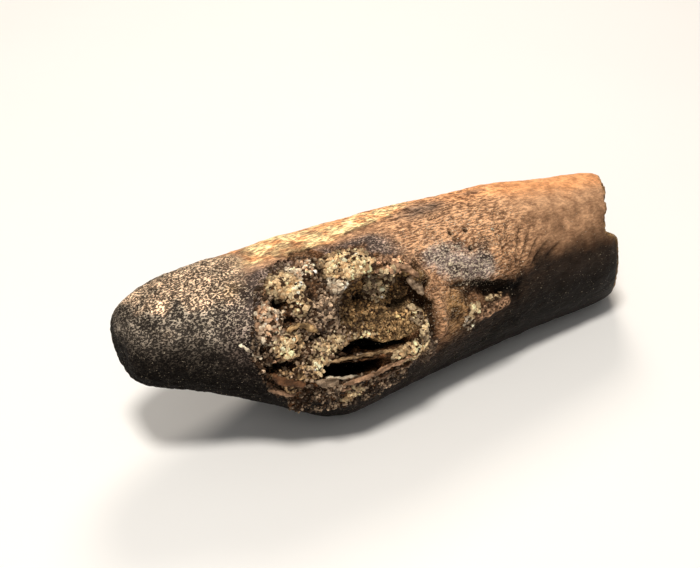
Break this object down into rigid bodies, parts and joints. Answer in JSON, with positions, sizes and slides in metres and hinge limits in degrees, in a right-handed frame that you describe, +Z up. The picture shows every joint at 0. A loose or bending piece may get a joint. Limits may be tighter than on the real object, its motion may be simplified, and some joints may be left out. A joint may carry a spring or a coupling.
{
  "type": "fossil claw",
  "caption": "Worn fossil claw fragment with a blunt rounded end, a broken-open spongy middle and a stepped break at the far end, lying on its underside.",
  "frame": {"origin": "on the resting surface, under the middle of the piece", "axes": "+X from the blunt end to the broken far end, -Y towards the broken face, +Z up"},
  "size_m": [0.0662, 0.0194, 0.0194],
  "materials": {
    "bone": "weathered, slightly waxy, with a crumbling sandy break"
  },
  "bodies": {
    "root": {"claw": "bone"}
  },
  "joints": []
}
